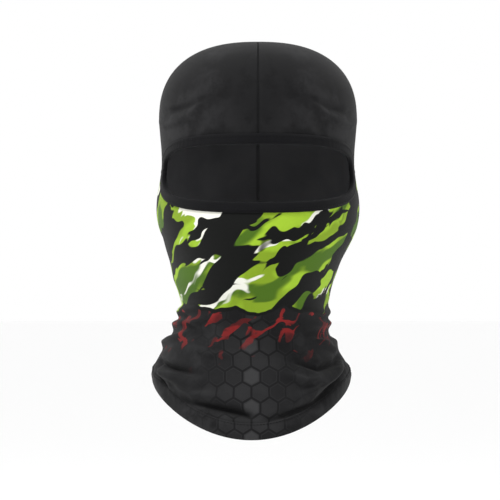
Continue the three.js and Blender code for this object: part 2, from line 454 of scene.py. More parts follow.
    def point(self, angle: np.ndarray, rise: np.ndarray, out: float | np.ndarray = 0.0) -> np.ndarray:
        """Points of the folded cloth's outer face, moved outwards by a distance.

        Args:
            angle: Angles round from the face, in radians.
            rise: Rises.
            out: How far out from the outer face, in metres.

        Returns:
            The points.
        """
        angle, rise = np.broadcast_arrays(np.asarray(angle, float), np.asarray(rise, float))
        outwards = np.asarray(self._lift(angle, rise) + out)[..., None]
        return self.base(angle, rise) + self._normal(angle, rise) * outwards


# Outlines on the cloth -------------------------------------------------------------------------------


@dataclass
class Pattern:
    """The outlines of the cut pieces: the eye opening, the side seams and the hem, as on the CAD model."""

    corner_angle: float = math.radians(80)
    corner_height: float = 28 * MM
    brow_height: float = 59 * MM
    cheek_height: float = -7 * MM
    roundness: float = 2.6
    ear_angle: float = math.radians(98)
    seam_angle: float = math.radians(116)
    seam_drop: float = 43 * MM
    hem_drop: float = 161 * MM
    hem_front_drop: float = 22.5 * MM
    hem_shoulder_lift: float = 12 * MM

    def opening(self, inset: float, turn: np.ndarray) -> tuple[np.ndarray, np.ndarray]:
        """Points of the opening's edge, drawn in by an inset.

        Args:
            inset: How far inside the binding's outer edge, in metres.
            turn: 0 at the right corner, a quarter turn at the brow, minus that at the cheek.

        Returns:
            The angles and the heights.
        """
        turn = np.asarray(turn, float)
        tall = np.where(
            np.sin(turn) > 0,
            self.brow_height - self.corner_height,
            self.corner_height - self.cheek_height,
        )
        bend = 2 / self.roundness
        along = np.sign(np.cos(turn)) * np.abs(np.cos(turn)) ** bend
        up = np.sign(np.sin(turn)) * np.abs(np.sin(turn)) ** bend
        angle = along * (self.corner_angle - inset / MEAN_RADIUS)
        return angle, self.corner_height + up * (tall - inset)

    def edge_height(self, edge: Edge, inset: float, angle: np.ndarray) -> np.ndarray:
        """Height of the opening's edge above an angle, or the corner's height past the corner.

        Args:
            edge: The upper or the lower edge.
            inset: How far inside the binding's outer edge.
            angle: Angles round from the face.

        Returns:
            The heights.
        """
        reach = self.corner_angle - inset / MEAN_RADIUS
        share = np.clip(np.abs(angle) / reach, 0, 1)
        tall = abs((self.brow_height if edge is Edge.BROW else self.cheek_height) - self.corner_height)
        bow = (1 - share**self.roundness) ** (1 / self.roundness)
        return self.corner_height + edge.value * (tall - inset) * bow

    def seam_height(self, angle: np.ndarray) -> np.ndarray:
        """Height of the side seam over the temple and round behind the ear, at some angles."""
        share = np.clip((np.abs(angle) - self.ear_angle) / (self.seam_angle - self.ear_angle), 0, 1)
        return self.corner_height - self.seam_drop * (1 - np.sqrt(np.clip(1 - share**2, 0, 1)))

    def hem_height(self, angle: np.ndarray) -> np.ndarray:
        """Height of the hem line at some angles.

        Args:
            angle: Angles round from the face, in radians.

        Returns:
            The heights.
        """
        return (
            -self.hem_drop
            - self.hem_front_drop * np.cos(angle)
            - self.hem_shoulder_lift * np.cos(2 * np.asarray(angle))
        )

    def side_seam(self, side: Side, steps: int = 400) -> tuple[np.ndarray, np.ndarray]:
        """Follows one side seam, from the opening's corner to the hem.

        Args:
            side: Which seam.
            steps: About how many points to take.

        Returns:
            The angles and the heights.
        """
        turn = np.linspace(0, np.pi / 2, steps // 4)
        bend_angle = self.ear_angle + (self.seam_angle - self.ear_angle) * np.sin(turn)
        bend_height = self.corner_height - self.seam_drop * (1 - np.cos(turn))
        temple = np.linspace(self.corner_angle, self.ear_angle, steps // 8, endpoint=False)
        low = float(self.hem_height(np.array(self.seam_angle)))
        drop = np.linspace(bend_height[-1], low, steps // 2)[1:]
        angle = np.concatenate([temple, bend_angle, np.full(drop.shape, self.seam_angle)])
        height = np.concatenate([np.full(temple.shape, self.corner_height), bend_height, drop])
        return side.value * angle, height


# Meshes ----------------------------------------------------------------------------------------------


def new_piece(name: str, points: np.ndarray, faces: list[tuple[int, ...]]) -> bpy.types.Object:
    """A new object at the origin with the given mesh.

    Args:
        name: The piece's name.
        points: Its points, in metres.
        faces: Its faces, as point numbers.

    Returns:
        The object.
    """
    mesh = bpy.data.meshes.new(name)
    mesh.from_pydata([tuple(p) for p in points], [], faces)
    mesh.validate()
    mesh.update()
    piece = bpy.data.objects.new(name, mesh)
    bpy.context.scene.collection.objects.link(piece)
    for polygon in mesh.polygons:
        polygon.use_smooth = True
    return piece


def select_only(piece: bpy.types.Object) -> None:
    """Deselects everything, then selects one piece and makes it active.

    Args:
        piece: The piece.
    """
    bpy.ops.object.select_all(action="DESELECT")
    piece.select_set(True)
    bpy.context.view_layer.objects.active = piece


def thicken(piece: bpy.types.Object, thickness: float, lining: int = 0) -> None:
    """Gives a sheet its thickness, inwards from its outer face.

    Args:
        piece: The sheet.
        thickness: In metres.
        lining: How many material slots further the inner face's material is.
    """
    select_only(piece)
    solid = piece.modifiers.new("thickness", "SOLIDIFY")
    solid.thickness = thickness
    solid.offset = -1
    solid.use_even_offset = False
    solid.material_offset = lining
    bpy.ops.object.modifier_apply(modifier=solid.name)


def write_cloth_coords(piece: bpy.types.Object, coords: np.ndarray) -> None:
    """Stores where each point lies on the cloth, in metres round from the centre line and up, as a UV map.

    Args:
        piece: The sheet, before it is thickened.
        coords: Two numbers for each point.
    """
    layer = piece.data.uv_layers.new(name="cloth")
    corners = np.zeros(len(piece.data.loops), int)
    piece.data.loops.foreach_get("vertex_index", corners)
    layer.data.foreach_set("uv", coords[corners].astype(np.float32).ravel())


def write_hollows(piece: bpy.types.Object, hollows: np.ndarray) -> None:
    """Stores how deep each point lies in the creases, as an attribute that the finishes read.

    Args:
        piece: The sheet, before it is thickened.
        hollows: A number from 0 to 1 for each point, for the shade painted into the creases.
    """
    layer = piece.data.attributes.new("hollow", "FLOAT", "POINT")
    layer.data.foreach_set("value", hollows.astype(np.float32).ravel())


def lengths_round(points: np.ndarray, first: int = 0) -> np.ndarray:
    """Level distances along each row of a grid of points, measured from one of its columns.

    Args:
        points: The grid, row by row.
        first: The column to measure from; columns before it get distances below 0.

    Returns:
        The distance of each point, in metres.
    """
    steps = np.linalg.norm(np.diff(points[..., :2], axis=1), axis=-1)
    total = np.concatenate([np.zeros((len(points), 1)), np.cumsum(steps, axis=1)], axis=1)
    return total - total[:, first : first + 1]


def close_at_ends(low: float, high: float, count: int) -> np.ndarray:
    """Even angles between two seams, with a few more set close to each, where the cloth dips.

    Args:
        low: The first angle.
        high: The last angle.
        count: How many even steps lie between.

    Returns:
        The angles.
    """
    close = SEAM_COLUMNS / MEAN_RADIUS
    clear = close[-1] * NEXT_COLUMN
    inner = np.linspace(low + clear, high - clear, count)
    return np.concatenate([low + close, inner, (high - close)[::-1]])


def rows_between(low: np.ndarray, high: np.ndarray | float, count: int) -> np.ndarray:
    """Even rows of heights from a lower edge to an upper one.

    Args:
        low: The lower edge's height at each column.
        high: The upper edge's height, or its height at each column.
        count: How many rows.

    Returns:
        The heights, row by row.
    """
    return low + (high - low) * np.linspace(0, 1, count)[:, None]


def grid_faces(rows: int, columns: int, start: int = 0) -> list[tuple[int, int, int, int]]:
    """Quads of a grid of points, facing out where its columns run to the right and its rows run up.

    Args:
        rows: How many rows.
        columns: How many points a row has.
        start: The number of the grid's first point.

    Returns:
        The faces, as point numbers.
    """
    corners = [start + r * columns + c for r in range(rows - 1) for c in range(columns - 1)]
    return [(n, n + 1, n + columns + 1, n + columns) for n in corners]


def swept_faces(steps: int, count: int, closed: bool) -> list[tuple[int, ...]]:
    """Faces of an outline swept along a path, stored step by step.

    Args:
        steps: How many steps the path has.
        count: How many points the outline has.
        closed: Whether the path joins its own start; if not, both ends are capped.

    Returns:
        The faces, as point numbers.
    """
    faces: list[tuple[int, ...]] = []
    for i in range(steps if closed else steps - 1):
        here, ahead = i * count, (i + 1) % steps * count
        for j in range(count):
            k = (j + 1) % count
            faces.append((here + j, here + k, ahead + k, ahead + j))
    if not closed:
        faces += [tuple(range(count))[::-1], tuple((steps - 1) * count + j for j in range(count))]
    return faces


def edit_all(piece: bpy.types.Object, *steps: Callable[[], object]) -> None:
    """Runs mesh operators on the whole of a piece.

    Args:
        piece: The piece.
        steps: The operators, in order.
    """
    select_only(piece)
    bpy.ops.object.mode_set(mode="EDIT")
    bpy.ops.mesh.select_all(action="SELECT")
    for step in steps:
        step()
    bpy.ops.mesh.select_all(action="DESELECT")
    bpy.ops.object.mode_set(mode="OBJECT")


def merge_close(piece: bpy.types.Object, distance: float = 0.02 * MM) -> None:
    """Merges points that lie together, as where two grids share an edge or a row closes to a pole.

    Args:
        piece: The piece.
        distance: How close the points are.
    """
    edit_all(
        piece,
        lambda: bpy.ops.mesh.remove_doubles(threshold=distance),
        lambda: bpy.ops.mesh.dissolve_degenerate(threshold=distance / 2),
    )


def swept_piece(
    name: str, rings: list[np.ndarray], coords: list[np.ndarray], closed: bool
) -> bpy.types.Object:
    """A closed piece swept along a path.

    Args:
        name: The piece's name.
        rings: The path that each point of the outline follows.
        coords: Where each of those points lies on the cloth.
        closed: Whether the path joins its own start.

    Returns:
        The object, with its faces pointing out.
    """
    points = np.stack(rings, axis=1)
    piece = new_piece(name, points.reshape(-1, 3), swept_faces(*points.shape[:2], closed))
    write_cloth_coords(piece, np.stack(coords, axis=1).reshape(-1, 2))
    edit_all(piece, lambda: bpy.ops.mesh.normals_make_consistent(inside=False))
    return piece


# Materials -------------------------------------------------------------------------------------------


@dataclass
class Paint:
    """A material's node tree, written as sums on numbers that vary over the surface."""

    tree: bpy.types.NodeTree

    def feed(self, socket: bpy.types.NodeSocket, value: "Field | float | Colour") -> None:
        """Links a field to a socket, or sets the socket to a plain value.

        Args:
            socket: A node's input.
            value: The field or the value.
        """
        if isinstance(value, Field):
            self.tree.links.new(value.socket, socket)
        else:
            socket.default_value = value

    def math(self, operation: str, *values: "Field | float") -> "Field":
        """A sum on some values.

        Args:
            operation: A Math node's operation.
            values: What it works on.

        Returns:
            The result over the surface.
        """
        node = self.tree.nodes.new("ShaderNodeMath")
        node.operation = operation
        for socket, value in zip(node.inputs, values):
            self.feed(socket, value)
        return Field(self, node.outputs[0])

    def mask(self, value: "Field", low: float, high: float) -> "Field":
        """A smooth step over the surface, from 0 at low to 1 at high.

        Args:
            value: The field to step.
            low: Where it is 0; above high, the step runs down.
            high: Where it is 1.

        Returns:
            The stepped field.
        """
        node = self.tree.nodes.new("ShaderNodeMapRange")
        node.interpolation_type = "SMOOTHSTEP"
        self.feed(node.inputs["Value"], value)
        bounds = (low, high, 0, 1) if low <= high else (high, low, 1, 0)
        for name, number in zip(("From Min", "From Max", "To Min", "To Max"), bounds):
            node.inputs[name].default_value = number
        return Field(self, node.outputs["Result"])

    def mix(self, share: "Field | float", under: "Field | Colour", over: "Field | Colour") -> "Field":
        """One colour laid over another.

        Args:
            share: How much of the upper colour shows.
            under: The lower colour.
            over: The upper colour.

        Returns:
            The mixed colour.
        """
        node = self.tree.nodes.new("ShaderNodeMix")
        node.data_type = "RGBA"
        self.feed(node.inputs[0], share)
        self.feed(node.inputs[6], under)
        self.feed(node.inputs[7], over)
        return Field(self, node.outputs[2])

    def noise(self, vector: "Field", scale: float, detail: float = 3, roughness: float = 0.5) -> "Field":
        """Noise over the surface, from about 0.3 to 0.7.

        Args:
            vector: Where each point lies.
            scale: Patches to a unit of the vector.
            detail: How many finer layers it has.
            roughness: How strong those are.

        Returns:
            The noise.
        """
        node = self.tree.nodes.new("ShaderNodeTexNoise")
        self.feed(node.inputs["Vector"], vector)
        for name, number in (("Scale", scale), ("Detail", detail), ("Roughness", roughness)):
            node.inputs[name].default_value = number
        return Field(self, node.outputs["Fac"])

    def combine(self, x: "Field | float", y: "Field | float", z: "Field | float" = 0.0) -> "Field":
        """A vector of three values.

        Args:
            x: The first.
            y: The second.
            z: The third.

        Returns:
            The vector.
        """
        node = self.tree.nodes.new("ShaderNodeCombineXYZ")
        for socket, value in zip(node.inputs, (x, y, z)):
            self.feed(socket, value)
        return Field(self, node.outputs[0])

    def split(self, vector: "Field") -> tuple["Field", "Field", "Field"]:
        """The three values of a vector.

        Args:
            vector: The vector.

        Returns:
            Its values.
        """
        node = self.tree.nodes.new("ShaderNodeSeparateXYZ")
        self.feed(node.inputs[0], vector)
        return tuple(Field(self, out) for out in node.outputs)

    def cloth_mm(self) -> tuple["Field", "Field"]:
        """Where each point lies on the cloth, from the piece's own UV map.

        Returns:
            Millimetres round from the centre line, and up.
        """
        node = self.tree.nodes.new("ShaderNodeUVMap")
        node.uv_map = "cloth"
        across, up, _ = self.split(Field(self, node.outputs[0]))
        return across * 1000, up * 1000

    def attribute(self, name: str, output: str) -> "Field":
        """An attribute stored on the piece.

        Args:
            name: The attribute.
            output: Fac for a number, Vector for a vector.

        Returns:
            Its value over the surface.
        """
        node = self.tree.nodes.new("ShaderNodeAttribute")
        node.attribute_name = name
        return Field(self, node.outputs[output])

    def hollow(self) -> "Field":
        """How deep each point lies in the creases, from 0 to 1, for the shade painted into them."""
        return self.attribute("hollow", "Fac")

    def place(self) -> "Field":
        """Where each point lies at rest, in metres, so that no pattern slides as the piece bends."""
        return self.attribute("rest_place", "Vector")

    def relief(self, shader: bpy.types.ShaderNode, height: "Field", strength: float, distance: float) -> None:
        """Gives a shader a fine relief.

        Args:
            shader: The shader.
            height: The relief's height over the surface.
            strength: How strongly it shows.
            distance: How deep it is, in metres.
        """
        bump = self.tree.nodes.new("ShaderNodeBump")
        bump.inputs["Strength"].default_value = strength
        bump.inputs["Distance"].default_value = distance
        self.feed(bump.inputs["Height"], height)
        self.tree.links.new(bump.outputs["Normal"], shader.inputs["Normal"])


@dataclass
class Field:
    """A number, colour or vector that varies over the surface."""

    paint: Paint
    socket: bpy.types.NodeSocket

    def __add__(self, other: "Field | float") -> "Field":
        """The sum."""
        return self.paint.math("ADD", self, other)

    def __sub__(self, other: "Field | float") -> "Field":
        """The difference."""
        return self.paint.math("SUBTRACT", self, other)

    def __rsub__(self, other: float) -> "Field":
        """The difference from a plain number."""
        return self.paint.math("SUBTRACT", other, self)

    def __mul__(self, other: "Field | float") -> "Field":
        """The product."""
        return self.paint.math("MULTIPLY", self, other)

    def __abs__(self) -> "Field":
        """The size without its sign."""
        return self.paint.math("ABSOLUTE", self)

    def most(self, other: "Field | float") -> "Field":
        """The larger of the two."""
        return self.paint.math("MAXIMUM", self, other)

    def wrap(self, span: float) -> "Field":
        """The remainder of a division, from 0 to the span."""
        return self.paint.math("FLOORED_MODULO", self, span)

    def square(self) -> "Field":
        """The square."""
        return self.paint.math("MULTIPLY", self, self)


def new_material(name: str) -> tuple[bpy.types.Material, Paint, bpy.types.ShaderNode]:
    """A new material to be painted.

    Args:
        name: Its name.

    Returns:
        The material, its node tree and its shader.
    """
    material = bpy.data.materials.new(name)
    material.use_nodes = True
    return material, Paint(material.node_tree), material.node_tree.nodes["Principled BSDF"]


def srgb(red: float, green: float, blue: float) -> Colour:
    """A display colour, in parts of 255, as a linear colour."""
    parts = [c / 255 for c in (red, green, blue)]
    return tuple(c / 12.92 if c <= 0.04045 else ((c + 0.055) / 1.055) ** 2.4 for c in parts) + (1.0,)


@dataclass(frozen=True)
class Palette:
    """The colours of the cloth and its print, and of the shade painted into its creases."""

    charcoal: Colour = srgb(18, 18, 19)
    smoke: Colour = srgb(31, 31, 32)
    # The darkest charcoal, for the print's wisps and cell outlines and for the shade painted into the
    # creases.
    soot_and_shade: Colour = srgb(11, 11, 12)
    cell: Colour = srgb(50, 50, 51)
    ink: Colour = srgb(11, 12, 11)
    lime: Colour = srgb(112, 138, 32)
    bright: Colour = srgb(134, 166, 42)
    moss: Colour = srgb(62, 90, 22)
    bone: Colour = srgb(206, 206, 196)
    rust: Colour = srgb(116, 28, 28)
    ember: Colour = srgb(72, 22, 23)


@dataclass(frozen=True)
class Ramp:
    """Where a layer fades in, and how strongly it shows.

    Attributes:
        low: Where it begins.
        high: Where it is fully in; below low, the ramp runs down.
        strength: How much it gains between the two.
        least: How strongly it shows where it is off.
    """

    low: float
    high: float
    strength: float = 1.0
    least: float = 0.0

    def on(self, paint: Paint, value: Field) -> Field:
        """How strongly the layer shows over the surface.

        Args:
            paint: The material being painted.
            value: What the layer depends on.

        Returns:
            Its share.
        """
        share = paint.mask(value, self.low, self.high)
        if self.strength != 1:
            share = share * self.strength
        return share + self.least if self.least else share


@dataclass(frozen=True)
class Brush:
    """A layer of brushed patches: noise drawn out along a slant.

    Attributes:
        scale: Patches to a metre.
        stretch: How many times longer a patch is than it is wide.
        lot: A number that sets this layer apart from the others.
        ramp: The noise at which a patch begins and is full.
    """

    scale: float
    stretch: float
    lot: float
    ramp: Ramp


@dataclass(frozen=True)
class Knit:
    """Knitted jersey: its wales and courses as a fine relief over a painted colour.

    Attributes:
        name: The material's name.
        wale: Distance between columns of stitches, in millimetres.
        course: Distance between rows of stitches, in millimetres.
        depth: How strongly the relief shows.
        roughness: Of the surface.
        sheen: Soft light along grazing edges.
        gloss: How strongly the surface mirrors.
        relief_depth: Depth of the relief, in metres.
        palette: The colours of the cloth and its print.
        light: The lighter of a plain cloth's two tones.
        dark: The darker of them.
        cloud_scale: Patches of unevenness to a metre.
        cloud: Where the darker tone comes in.
    """

    name: str
    wale: float = 0.9
    course: float = 0.7
    depth: float = 0.35
    roughness: float = 0.86
    sheen: float = 0.03
    gloss: float = 0.1
    relief_depth: float = 0.15 * MM
    palette: Palette = Palette()
    light: Colour = srgb(10, 10, 12)
    dark: Colour = srgb(6, 6, 8)
    cloud_scale: float = 28
    cloud: Ramp = Ramp(0.35, 0.7)

    def colour(self, paint: Paint, across: Field, up: Field) -> Field:
        """The cloth's colour: plain charcoal with faint unevenness.

        Args:
            paint: The material being painted.
            across: Millimetres round from the centre line.
            up: Millimetres up.

        Returns:
            The colour field.
        """
        cloud = paint.noise(paint.combine(across * MM, up * MM), self.cloud_scale)
        return paint.mix(self.cloud.on(paint, cloud), self.light, self.dark)

    def make(self) -> bpy.types.Material:
        """Paints the material.

        Returns:
            The finished material.
        """
        material, paint, shader = new_material(self.name)
        across, up = paint.cloth_mm()
        paint.feed(shader.inputs["Base Color"], self.colour(paint, across, up))
        shader.inputs["Roughness"].default_value = self.roughness
        shader.inputs["Sheen Weight"].default_value = self.sheen
        shader.inputs["Sheen Roughness"].default_value = 0.5
        shader.inputs["Specular IOR Level"].default_value = self.gloss
        columns = paint.math("SINE", across * (2 * math.pi / self.wale))
        rows = paint.math("SINE", up * (2 * math.pi / self.course) + columns * 0.9)
        fuzz = paint.noise(paint.combine(across, up), 1.6, detail=2)
        paint.relief(shader, columns * 0.5 + rows * 0.35 + fuzz * 1.2, self.depth, self.relief_depth)
        return material


@dataclass(frozen=True)
class SmokyKnit(Knit):
    """Charcoal jersey with a faint print: mirrored smoky blotches, and rows of six-sided cells on the neck.

    Its creases have shade painted into them.

    Attributes:
        crease_shade: How dark the shade painted into the creases is.
        drift: Where the noise gives a lighter blotch.
        wisp: Where it gives a darker wisp.
        aside: Metres from the centre line, for the blotches.
        cell: Width of a cell, in millimetres.
        shown: Millimetres up, for the cells.
        middle: Millimetres from the centre line, for the cells.
        outline: Millimetres inside a cell, for its dark outline.
        rim_inset: How far inside a cell its pale rim lies, in millimetres.
        rim: Millimetres from there, for the rim.
        filled: Millimetres inside a cell, for its filling.
        lot: The number of a cell, for its filling.
        column: Millimetres from the centre line to a cell's centre, for the brighter middle column.
    """

    # Strength of the shade painted into the creases.
    crease_shade: float = 0.92
    drift: Ramp = Ramp(0.46, 0.64)
    wisp: Ramp = Ramp(0.52, 0.66, 0.6)
    aside: Ramp = Ramp(0.006, 0.048, 0.85, 0.15)
    cell: float = 15.0
    shown: Ramp = Ramp(-78, -112)
    middle: Ramp = Ramp(60, 8, 0.85, 0.15)
    outline: Ramp = Ramp(0.75, 0.3, 0.5)
    rim_inset: float = 1.3
    rim: Ramp = Ramp(0.5, 0.1, 0.28)
    filled: Ramp = Ramp(0.4, 2.6)
    lot: Ramp = Ramp(0.42, 0.66, 0.34)
    column: Ramp = Ramp(12.5, 0.5, 0.72)

    def cells(self, paint: Paint, across: Field, up: Field) -> tuple[Field, Field, Field]:
        """The six-sided cells.

        Args:
            paint: The material being painted.
            across: Millimetres round from the centre line.
            up: Millimetres up.

        Returns:
            How far each place is inside its cell, a number that differs from cell to cell, and how far the
            cell's centre is from the centre line.
        """
        wide, tall = self.cell, self.cell * math.sqrt(3)
        x1, y1 = (across + wide / 2).wrap(wide) - wide / 2, up.wrap(tall) - tall / 2
        x2, y2 = across.wrap(wide) - wide / 2, (up + tall / 2).wrap(tall) - tall / 2
        first = paint.math("LESS_THAN", x1.square() + y1.square(), x2.square() + y2.square())
        x = x1 * first + x2 * (1 - first)
        y = y1 * first + y2 * (1 - first)
        reach = abs(x).most(abs(x) * 0.5 + abs(y) * (math.sqrt(3) / 2))
        centre = paint.combine(across - x, up - y)
        return (wide / 2) - reach, paint.noise(centre, 0.9, detail=0), abs(across - x)

    def colour(self, paint: Paint, across: Field, up: Field) -> Field:
        """Charcoal with mirrored blotches and cells, and shade painted into the creases.

        Args:
            paint: The material being painted.
            across: Millimetres round from the centre line.
            up: Millimetres up.

        Returns:
            The colour field.
        """
        inks = self.palette
        x, y, z = paint.split(paint.place())
        mirrored = paint.combine(abs(x), y, z)
        drift = self.drift.on(paint, paint.noise(mirrored, 26, detail=4, roughness=0.62))
        wisp = self.wisp.on(paint, paint.noise(mirrored, 58, detail=5, roughness=0.68))
        ground = paint.mix(drift * self.aside.on(paint, abs(x)), inks.charcoal, inks.smoke)
        ground = paint.mix(wisp, ground, inks.soot_and_shade)
        inside, lot, centre_aside = self.cells(paint, across, up)
        printed = self.shown.on(paint, up) * self.middle.on(paint, abs(across))
        brightness = self.lot.on(paint, lot).most(self.column.on(paint, centre_aside))
        ground = paint.mix(self.filled.on(paint, inside) * brightness * printed, ground, inks.cell)
        ground = paint.mix(self.rim.on(paint, abs(inside - self.rim_inset)) * printed, ground, inks.cell)
        ground = paint.mix(self.outline.on(paint, inside) * printed, ground, inks.soot_and_shade)
        # Painted shade: the creases darken towards the darkest charcoal by their depth.
        return paint.mix(paint.hollow() * self.crease_shade, ground, inks.soot_and_shade)


@dataclass(frozen=True)
class PrintedKnit(SmokyKnit):
    """The front panel's print: abstract camouflage of brushed green, black and pale patches over red flecks.

    The patches come from noise alone, and aren't mirrored, so they draw nothing.

    Attributes:
        slant: How steeply the brush strokes rise.
        waver: How far their lines bend, in millimetres.
        hue: Brighter green on the lime.
        shade: Moss green.
        pale: Off-white streaks.
        black: Broad black strokes.
        thin: Narrow black strokes.
        green_end: Where the green ends, in millimetres up.
        green_wave: How far that edge waves, in millimetres.
        border: The green's edge, in millimetres below it.
        black_border: The edge of the black line below the green.
        fleck_height: Millimetres up, for the flecks.
        fleck_gain: How much the noise gains where they are dense.
        fleck: The flecks.
        fleck_tone: Their brighter tone.
    """

    slant: float = 0.55
    waver: float = 26
    hue: Brush = Brush(30, 1.6, 0.0, Ramp(0.44, 0.56))
    shade: Brush = Brush(34, 2.2, 1.3, Ramp(0.53, 0.60))
    pale: Brush = Brush(58, 4.6, 2.6, Ramp(0.6, 0.625))
    black: Brush = Brush(40, 3.2, 3.9, Ramp(0.518, 0.533))
    thin: Brush = Brush(64, 5.0, 5.2, Ramp(0.575, 0.59))
    green_end: float = -86.0
    green_wave: float = 34.0
    border: Ramp = Ramp(-0.2, 0.4)
    black_border: Ramp = Ramp(-3.4, -2.9)
    fleck_height: Ramp = Ramp(-142, -90)
    fleck_gain: float = 0.09
    fleck: Brush = Brush(88, 2.4, 9.1, Ramp(0.645, 0.665))
    fleck_tone: Brush = Brush(60, 1.5, 10.4, Ramp(0.42, 0.58))

    def _strokes(
        self, paint: Paint, across: Field, up: Field, brush: Brush, gain: Field | None = None
    ) -> Field:
        """One layer of brushed patches.

        Args:
            paint: The material being painted.
            across: Millimetres round from the centre line.
            up: Millimetres up.
            brush: The layer.
            gain: What is added to its noise.

        Returns:
            Where the layer lies.
        """
        bend = paint.noise(paint.combine(across * MM, up * MM, brush.lot + 5.0), brush.scale * 0.8, detail=1)
        bend = bend * self.waver
        along = (across + up * self.slant + bend) * (MM / brush.stretch)
        beside = (up - across * self.slant + bend) * MM
        grain = paint.noise(paint.combine(along, beside, brush.lot), brush.scale, detail=2, roughness=0.45)
        return brush.ramp.on(paint, grain + gain if gain else grain)

    def colour(self, paint: Paint, across: Field, up: Field) -> Field:
        """The whole print over the smoky ground.

        Args:
            paint: The material being painted.
            across: Millimetres round from the centre line.
            up: Millimetres up.

        Returns:
            The colour field.
        """
        inks = self.palette
        # The smoky ground carries the shade painted into the creases, which shows below the green.
        ground = super().colour(paint, across, up)
        hue, shade, pale, black, thin = (
            self._strokes(paint, across, up, brush)
            for brush in (self.hue, self.shade, self.pale, self.black, self.thin)
        )
        camouflage = paint.mix(hue, inks.lime, inks.bright)
        for share, ink in ((shade, inks.moss), (pale, inks.bone), (black.most(thin), inks.ink)):
            camouflage = paint.mix(share, camouflage, ink)
        wave = paint.noise(paint.combine(across * MM, up * 0.4 * MM, 7.7), 24, detail=3)
        depth = up - self.green_end + (wave - 0.5) * self.green_wave
        flecked = self._flecks(paint, across, up, ground)
        inked = paint.mix(self.black_border.on(paint, depth), flecked, inks.ink)
        return paint.mix(self.border.on(paint, depth), inked, camouflage)

    def _flecks(self, paint: Paint, across: Field, up: Field, under: Field) -> Field:
        """Scattered dark red flecks that thin out down the neck.

        Args:
            paint: The material being painted.
            across: Millimetres round from the centre line.
            up: Millimetres up.
            under: The cloth's colour.

        Returns:
            The colour with the flecks on it.
        """
        dense = self.fleck_height.on(paint, up)
        spot = self._strokes(paint, across, up, self.fleck, dense * self.fleck_gain) * dense
        tone = self._strokes(paint, across, up, self.fleck_tone)
        return paint.mix(spot, under, paint.mix(tone, self.palette.ember, self.palette.rust))


@dataclass(frozen=True)
class ThreadFinish:
    """Spun polyester thread: dull, with a faint twist.

    Attributes:
        name: The material's name.
        colour: Its colour.
        twist: Distance between the turns of its plies, in metres.
        depth: Depth of the grooves between them, in metres.
        worn: How many times lighter its worn places are.
    """

    name: str
    colour: Colour = srgb(8, 8, 9)
    twist: float = 0.6 * MM
    depth: float = 0.05 * MM
    worn: float = 1.6

    def make(self) -> bpy.types.Material:
        """Paints the material.

        Returns:
            The finished material.
        """
        material, paint, shader = new_material(self.name)
        place = paint.place()
        x, y, z = paint.split(place)
        lighter = tuple(self.worn * c for c in self.colour[:3]) + (1.0,)
        wear = paint.noise(place, 300, detail=1)
        paint.feed(shader.inputs["Base Color"], paint.mix(wear, self.colour, lighter))
        shader.inputs["Roughness"].default_value = 0.75
        shader.inputs["Specular IOR Level"].default_value = 0.12
        ply = paint.math("SINE", (x + y + z) * (2 * math.pi / self.twist))
        paint.relief(shader, ply, 0.3, self.depth)
        return material


# Cloth pieces ----------------------------------------------------------------------------------------


@dataclass
class Workshop:
    """What every piece is made from: the form, the pattern and the finishes.

    Attributes:
        form: The form of the worn cloth.
        pattern: The outlines of the cut pieces.
        smoky: The hood's cloth.
        printed: The front panel's cloth.
        plain: The binding's cloth.
        lining: The inner face of the hood and the front panel, in a pale grey that is painted light.
        thread: Thread outside.
        inner_thread: Thread inside, in a pale grey that is painted light, like the lining.
        elastic: The binding's elastic.
        cloth: Thickness of the cloth.
        seam_lap: How far a panel runs past its seam.
        hidden_edge: How far the panels run into the binding.
        hem_tuck: How far above the hem line the panels end, inside the hem.
        blend_start: Where cloth that crosses the joint starts to follow the face cover.
        blend_end: Where it follows it wholly.
    """

    form: HeadForm
    pattern: Pattern
    smoky: bpy.types.Material
    printed: bpy.types.Material
    plain: bpy.types.Material
    lining: bpy.types.Material
    thread: bpy.types.Material
    inner_thread: bpy.types.Material
    elastic: bpy.types.Material
    cloth: float = 1.1 * MM
    seam_lap: float = 0.05 * MM
    hidden_edge: float = 4 * MM
    hem_tuck: float = 1.6 * MM
    blend_start: tuple[float, float, float] = (0, -35.0 * MM, 21.0 * MM)
    blend_end: tuple[float, float, float] = (0, -80.2 * MM, 48.1 * MM)

    def ride(self, piece: bpy.types.Object, slot: str, bends: bool, *replaced: str) -> None:
        """Hangs a piece on the hood, or, if it crosses the joint, bakes its place into its mesh.

        Args:
            piece: The finished piece.
            slot: The record's material slot; not used.
            bends: Whether it crosses the joint.
            replaced: The CAD nodes that it stands for.
        """
        places = piece.data.attributes.new("rest_place", "FLOAT_VECTOR", "POINT")
        points = np.array([v.co for v in piece.data.vertices], np.float32)
        places.data.foreach_set("vector", points.ravel())
        if bends:
            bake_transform(piece)
        else:
            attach(piece, "hood")
        if replaced:
            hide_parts(*replaced)
        LOG.info("%s: %d faces", piece.name, len(piece.data.polygons))


